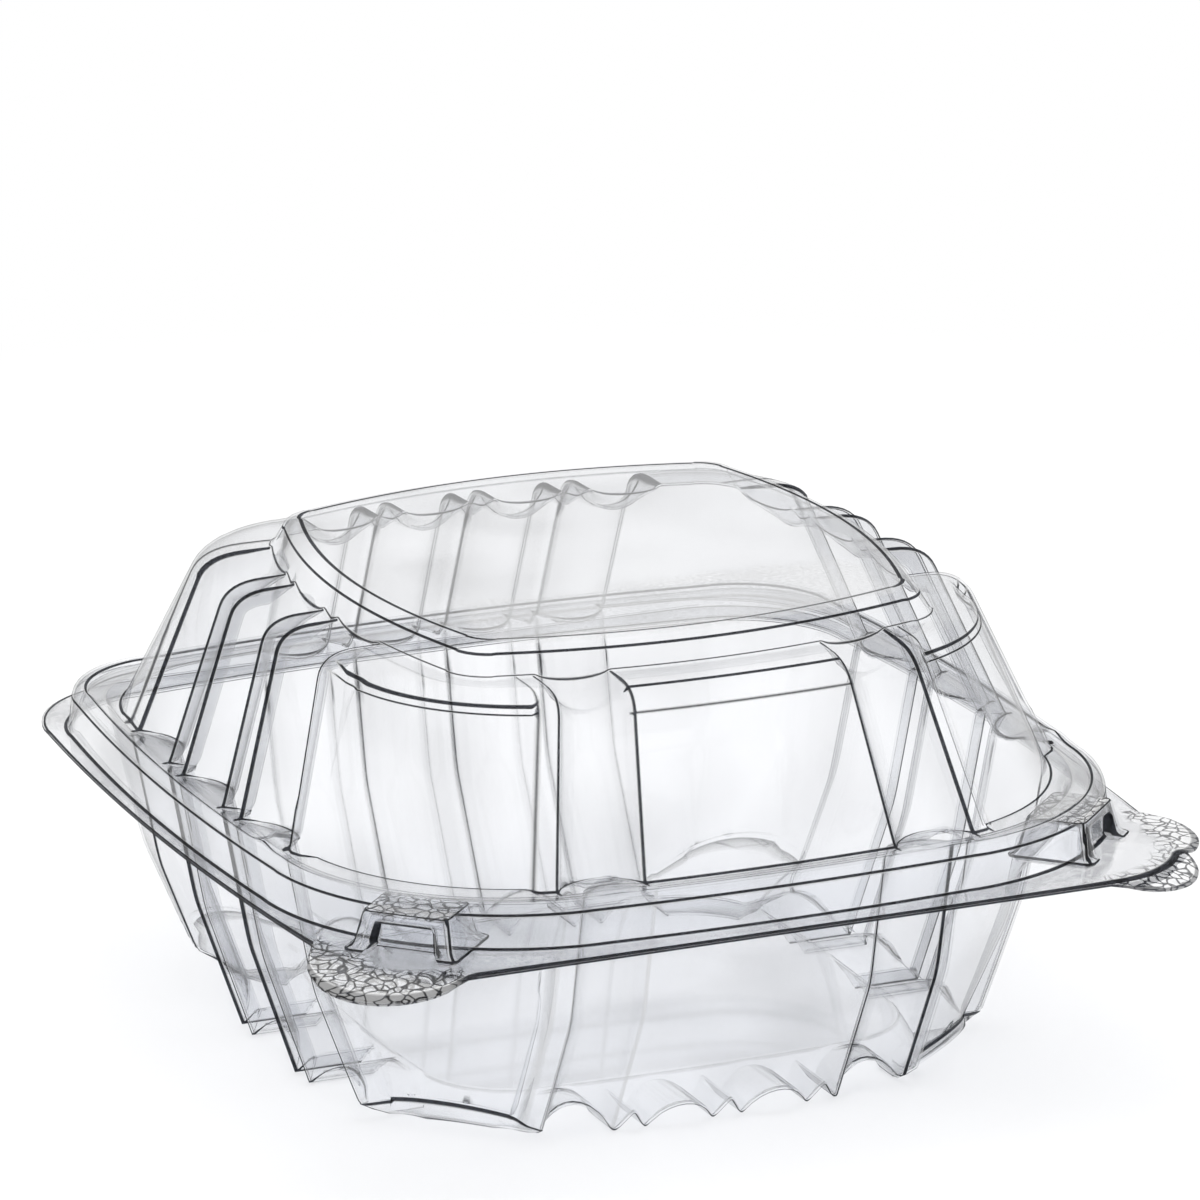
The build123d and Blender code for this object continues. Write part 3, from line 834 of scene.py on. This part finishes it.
def clearSheet(name, pattern=None):
    material = bpy.data.materials.new(name)
    tree = emptyTree(material)
    v = sheetLook
    place = makeNode(tree, "TexCoord", "Object")
    facing = makeNode(tree, "LayerWeight", "Facing", inputs={"Blend": 0.5})
    line = makeNode(tree, "Attribute", "Fac", attribute_name="paintedEdgeShade")
    leaving = makeNode(tree, "NewGeometry", "Backfacing")
    thin = (facing ** 3) * v["slantTint"] + (facing ** 7) * v["edgeTint"]
    # slow streaks where the sheet was drawn thinner
    streaks = noise(place, v["streakScale"], 0.0)
    shade = makeNode(tree, "Attribute", "Fac", attribute_name="shade")
    # painted shade: dark lines along the ridges, rims and edges, read from the edge attribute
    lineShade = (line * v["lineShadeGain"]).math("MINIMUM", 1.0)
    dark = thin * (streaks * v["streakGain"] + v["streakBase"]) + lineShade * v["lineShadeWeight"]
    # painted shade on the steep flanks of the flutes
    dark = dark + shade * v["flankShadeWeight"]
    dark = dark + (streaks - 0.5).math("MAXIMUM", 0.0) * v["streakTint"]
    # painted highlight: a bright glint along each side of a sharp edge
    glint = (line * v["glintRise"]).math("MINIMUM", 1.0) - (line * v["glintFall"]).math("MINIMUM", 1.0)
    # the outermost edge stays dark instead of shining
    edge = facing ** 9
    # the painted dark lines also dull the reflection
    share = ((facing ** 4) * v["slantGloss"] + v["plainGloss"]) * (1 - lineShade * v["lineShadeDulls"])
    share = share * (1 - edge) + glint * v["glint"]
    if pattern == "grip":
        g = gripLook
        grip = makeNode(tree, "Attribute", "Fac", attribute_name="grip")
        warp = noise(place, g["warpScale"], 0.0, "Color")
        moved = warp.node("VectorMath", 0, 0, operation="SCALE", inputs={"Scale": g["warpReach"]})
        scaleAt = makeNode(tree, "VectorMath", 0, operation="ADD", links={0: place, 1: moved})
        cells = makeNode(tree, "TexVoronoi", "Distance", feature="DISTANCE_TO_EDGE",
                         inputs={"Scale": g["cellScale"]}, links={"Vector": scaleAt})
        outlineOf = ramp(cells, *g["outline"], 1.0, 0.0)
        fleck = noise(place, g["fleckScale"], 1.0)
        fleck = (fleck - g["fleckFrom"]).math("MAXIMUM", 0.0)
        dark = dark + grip * (outlineOf * g["outlineTint"] + fleck * g["fleckTint"])
        # painted highlight: the grip cells shine whiter between their outlines
        share = share + grip * (1 - outlineOf) * g["gloss"]
    if pattern == "frost":
        f = frostLook
        x, y = place.node("SeparateXYZ", 0, "X"), place.node("SeparateXYZ", 0, "Y")
        wander = noise(place, f["wanderScale"], 2.0)
        backEdge = ramp(y, *f["backEdge"], 0.0, 1.0)
        sideEdge = ramp(x.math("ABSOLUTE"), *f["sideEdge"], 0.0, 1.0)
        zone = backEdge * sideEdge * f["zoneGain"] + wander * f["wander"] - f["zoneFrom"]
        zone = zone.math("MAXIMUM", 0.0).math("MINIMUM", 1.0)
        grain = noise(place, f["grainScale"], 2.0)
        front = ramp(y, *f["front"], f["frontLeast"], 1.0)
        dark = dark + zone * (grain * f["grain"] - f["grainFrom"]).math("MAXIMUM", 0.0) * front
        share = share + zone * f["gloss"]
    # light on its way to the ground is bent by the sheet, not swallowed
    bounced = makeNode(tree, "LightPath", "Is Diffuse Ray")
    dark = dark * (1 - bounced * v["letThrough"])
    share = share * (1 - bounced * v["letThrough"])
    bright = makeNode(tree, "BsdfTransparent", 0, inputs={"Color": v["clear"]})
    dim = makeNode(tree, "BsdfTransparent", 0, inputs={"Color": v["dark"]})
    lets = makeNode(tree, "MixShader", 0, links={0: dark.math("MINIMUM", v["darkest"]), 1: bright, 2: dim})
    passes = makeNode(tree, "BsdfTransparent", 0, inputs={"Color": pureWhite})
    gloss = makeNode(tree, "BsdfGlossy", 0, inputs={"Roughness": v["roughness"], "Color": pureWhite})
    entering = makeNode(tree, "MixShader", 0, links={0: share, 1: lets, 2: gloss})
    mixed = makeNode(tree, "MixShader", 0, links={0: leaving, 1: entering, 2: passes})
    showShader(tree, mixed)
    return material


plainSheet = clearSheet("clearSheet")
gripSheet = clearSheet("gripSheet", "grip")
frostSheet = clearSheet("frostSheet", "frost")
print("materials", plainSheet.name, gripSheet.name, frostSheet.name)


def dress(piece, frosted=False):
    # the patterned materials go only on the faces that carry a pattern
    mesh = piece.data
    mesh.materials.clear()
    for material in (plainSheet, gripSheet, frostSheet):
        mesh.materials.append(material)
    grip = np.empty(len(mesh.vertices))
    mesh.attributes["grip"].data.foreach_get("value", grip)
    for face in mesh.polygons:
        if max(grip[i] for i in face.vertices) > 0.01:
            face.material_index = 1
        elif frosted and face.center.z > frostLook["above"] and face.center.y < frostLook["before"]:
            face.material_index = 2


# snap caps over the studs at the two front corners
capValues = {
    "places": {1: (52.8, 56.5), -1: (51.1, 54.3)}, "half": (7.0, 4.9), "middle": -2.85,
    "top": 44.25, "foot": 38.62, "draft": 1.2, "round": 0.8, "cornerRadius": 1.3, "flare": 0.9,
    "pocket": (4.2, 42.5, 1.1), "topRings": (0.2, 0.4, 0.58, 0.72), "count": 144, "wall": 0.34,
    "innerLines": 0.6, "studInset": 0.7, "studLine": 0.15, "cornerLineShade": 0.8, "ceilingShade": 0.55,
}


def makeCap(name, side, inset=0.0):
    v = dict(capValues, top=capValues["top"] - inset, foot=capValues["foot"] - inset)
    count, radius = v["count"], v["cornerRadius"]
    halfU, halfV = (half - inset for half in v["half"])
    angle = np.linspace(0, 2 * math.pi, 721)

    def rectangle(grow):
        # even points round a rectangle with round corners
        u = np.sign(np.cos(angle)) * (halfU + grow - radius) + radius * np.cos(angle)
        w = np.sign(np.sin(angle)) * (halfV + grow - radius) + radius * np.sin(angle)
        run = np.concatenate([[0], np.cumsum(np.hypot(np.diff(u), np.diff(w)))])
        places = np.linspace(0, run[-1], count, endpoint=False)
        return np.interp(places, run, u), np.interp(places, run, w)

    turn = math.radians(-45 * side)
    rows = []
    drop = v["top"] - v["foot"]
    steps = [(0.0, 0.0, v["top"], 0)]
    steps += [(s, 0.0, v["top"], 0) for s in v["topRings"]]
    steps += [(1, -v["round"], v["top"], 0), (1, -0.25, v["top"] - 0.06, 1.0), (1, 0.0, v["top"] - 0.4, 0)]
    for share in (0.15, 0.26, 0.34, 0.42, 0.55, 0.7, 0.82):
        steps.append((1, v["draft"] * share, v["top"] - 0.4 - (drop - 0.4) * share, 0))
    steps.append((1, v["draft"] + 0.15, v["foot"] + 0.45, 0))
    steps.append((1, v["draft"] + v["flare"], v["foot"], 1.0))
    pocketHalf, pocketTop, pocketDeep = v["pocket"]
    for scale, grow, z, ringLine in steps:
        u, w = rectangle(grow)
        u, w = u * scale, w * scale
        into = float(smoothStep(pocketTop + 0.35, pocketTop - 0.35, z))
        across = smoothStep(pocketHalf + 0.3 + grow * 0.6, pocketHalf - 0.3 + grow * 0.6, np.abs(u))
        front = w < -halfV * 0.9
        w = np.where(front, w + into * across * (pocketDeep + max(grow, 0)), w)
        # painted dark lines along the pocket's edges and the cap's corners, and painted shade on the pocket's
        # ceiling
        edges = np.where(front & (np.abs(np.abs(u) - pocketHalf - 0.6 * grow) < 0.3), into, 0.0)
        cornerU = np.abs(np.abs(u) - halfU - grow + 0.35) < 0.16
        cornerW = np.abs(np.abs(w) - halfV - grow + 0.35) < 0.6
        crest = np.maximum(edges, (cornerU & cornerW) * v["cornerLineShade"]) * (scale == 1)
        ceiling = v["ceilingShade"] * front * (np.abs(u) < pocketHalf) * (0.2 < into < 0.8)
        w = w + v["middle"]
        placeX, placeY = v["places"][side]
        x = side * -placeX + u * math.cos(turn) - w * math.sin(turn)
        y = -placeY + u * math.sin(turn) + w * math.cos(turn)
        grip = 1.0 if z > v["top"] - 0.05 else 0.0
        rows.append(markedRow(x, y, z + 0 * x, ringLine, np.maximum(crest, ceiling), grip))
    cap = formSheet(name, count, rows, True)
    return thicken(cap, v["wall"], v["innerLines"])


capLeft = makeCap("latchCapLeft", 1)
capRight = makeCap("latchCapRight", -1)
studInset = capValues["studInset"]
studs = [makeCap("latchStudLeft", 1, studInset), makeCap("latchStudRight", -1, studInset)]
# the studs under the caps keep only a faint painted edge shade
for stud in studs:
    for value in stud.data.attributes["paintedEdgeShade"].data:
        value.value *= capValues["studLine"]
print("caps and studs", len(capLeft.data.vertices), "points each")

# rolled fold along the back edge
foldValues = {
    "radius": 0.55, "half": 52.0, "y": 77.2, "z": 38.05, "around": 24, "along": 53,
    "ripple": (0.97, 0.03, 0.9), "lineShade": 0.5,
}


def makeFold():
    v = foldValues
    around = np.linspace(0, 2 * math.pi, v["around"], endpoint=False)
    rows = []
    places = np.linspace(-v["half"], v["half"], v["along"])
    least, wave, pace = v["ripple"]
    for i, x in enumerate([places[0], *places, places[-1]]):
        size = 0.0 if i in (0, len(places) + 1) else v["radius"] * (least + wave * math.cos(x * pace))
        y = v["y"] + size * np.cos(around)
        z = v["z"] + size * np.sin(around)
        # a painted dark line along the top and bottom of the fold
        rows.append(markedRow(x + 0 * y, y, z, 0.0, v["lineShade"] * (np.abs(np.sin(around)) > 0.99)))
    fold = formSheet("hingeFold", v["around"], rows, None)
    selectOnly(fold)
    bpy.ops.object.shade_smooth()
    return fold


fold = makeFold()
print("rolled fold", len(fold.data.vertices), "points")
dress(lid, True)
for piece in (tray, capLeft, capRight, fold, *studs):
    dress(piece)
for cap in (capLeft, capRight):
    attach(cap, "lid")
for piece in (fold, *studs):
    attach(piece, "tray")
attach(lid, "lid")
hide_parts("lid")
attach(tray, "tray")
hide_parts("tray")

# floor: white ground that takes the shadow near the pack and is plain white farther out
floorValues = {"size": 6, "below": 0.0001, "paint": (0.768, 0.768, 0.771, 1), "fade": (0.16, 0.4)}
clearSelection()
bpy.ops.mesh.primitive_plane_add(size=floorValues["size"], location=(0, 0, -floorValues["below"]))
floor = bpy.context.object
floor.name = "floor"
floorPaint = bpy.data.materials.new("whiteFloor")
tree = emptyTree(floorPaint)
diffuse = makeNode(tree, "BsdfDiffuse", 0, inputs={"Color": floorValues["paint"]})
paper = makeNode(tree, "Emission", 0, inputs={"Color": pureWhite, "Strength": 1.0})
ground = makeNode(tree, "TexCoord", "Object")
far = ground.node("VectorMath", 0, "Value", operation="LENGTH")
fade = ramp(far, *floorValues["fade"], 0.0, 1.0)
mixed = makeNode(tree, "MixShader", 0, links={0: fade, 1: diffuse, 2: paper})
showShader(tree, mixed)
floor.data.materials.append(floorPaint)
print("floor", floor.name)

# world: a white room with brighter boxes; the camera sees plain white behind the pack
worldValues = {
    "base": (0.42, 0.42), "least": 0.1,
    "overhead": (0.8, 1.1, 0.06), "overheadGain": 1.3,
    "left": (-0.95, -0.7, 0.05), "leftHigh": (0.1, 0.6, 0.05),
    "right": (0.62, 0.8, 0.05), "rightHigh": (0.05, 0.5, 0.05), "sideGain": 1.5,
    "front": (-0.9, -0.72, 0.05), "frontHigh": (0.25, 0.55, 0.04), "frontWide": (-0.5, 0.1, 0.05),
    "frontGain": 0.7,
}
world = bpy.data.worlds.new("studio")
bpy.context.scene.world = world
tree = emptyTree(world)
path = tree.nodes.new("ShaderNodeLightPath")
ray = Socket(tree, path.outputs["Is Camera Ray"])
for word in ("Is Glossy Ray", "Is Transmission Ray"):
    ray = ray.math("MAXIMUM", Socket(tree, path.outputs[word]))
white = makeNode(tree, "Background", 0, inputs={"Color": pureWhite, "Strength": 1.0})
direction = makeNode(tree, "TexCoord", "Generated")
height = direction.node("SeparateXYZ", 0, "Z")
across = direction.node("SeparateXYZ", 0, "X")
deep = direction.node("SeparateXYZ", 0, "Y")


def softBox(value, low, high, edge):
    # one inside a band of a direction part, zero outside, with soft ends
    rise = ramp(value, low - edge, low, 0.0, 1.0)
    fall = ramp(value, high, high + edge, 1.0, 0.0)
    return rise * fall


w = worldValues
overhead = softBox(height, *w["overhead"])
leftBox = softBox(across, *w["left"]) * softBox(height, *w["leftHigh"])
rightBox = softBox(across, *w["right"]) * softBox(height, *w["rightHigh"])
frontBox = softBox(deep, *w["front"]) * softBox(height, *w["frontHigh"]) * softBox(across, *w["frontWide"])
bright = height * w["base"][0] + w["base"][1] + overhead * w["overheadGain"]
bright = bright + (leftBox + rightBox) * w["sideGain"] + frontBox * w["frontGain"]
bright = bright.math("MAXIMUM", w["least"])
room = makeNode(tree, "Background", 0, inputs={"Color": pureWhite}, links={"Strength": bright})
mixed = makeNode(tree, "MixShader", 0, links={0: ray, 1: room, 2: white})
showShader(tree, mixed, "OutputWorld")
world.cycles.sampling_method = "NONE"
print("world", world.name)

# camera: a long lens, low and from the left front
cameraValues = {
    "azimuth": 23.8, "elevation": 18.3, "distance": 1.5, "lookHeight": 0.038, "sensor": 36,
    "focalPixels": 9720, "framePixels": 1200, "middle": (597.5, 784), "clipEnd": 20,
}
v = cameraValues
azimuth, elevation = math.radians(v["azimuth"]), math.radians(v["elevation"])
back = (
    -math.sin(azimuth) * math.cos(elevation),
    -math.cos(azimuth) * math.cos(elevation),
    math.sin(elevation),
)
clearSelection()
bpy.ops.object.camera_add()
camera = bpy.context.object
camera.name = "camera"
camera.location = (
    back[0] * v["distance"], back[1] * v["distance"], v["lookHeight"] + back[2] * v["distance"])
camera.rotation_euler = (math.pi / 2 - elevation, 0, -azimuth)
camera.data.sensor_width = v["sensor"]
camera.data.lens = v["sensor"] * v["focalPixels"] / v["framePixels"]
camera.data.shift_x = (v["framePixels"] / 2 - v["middle"][0]) / v["framePixels"]
camera.data.shift_y = (v["middle"][1] - v["framePixels"] / 2) / v["framePixels"]
camera.data.clip_end = v["clipEnd"]
bpy.context.scene.camera = camera

scene = bpy.context.scene
scene.view_settings.view_transform = "Standard"
scene.cycles.transparent_max_bounces = 64
print("camera", camera.data.lens, "mm")
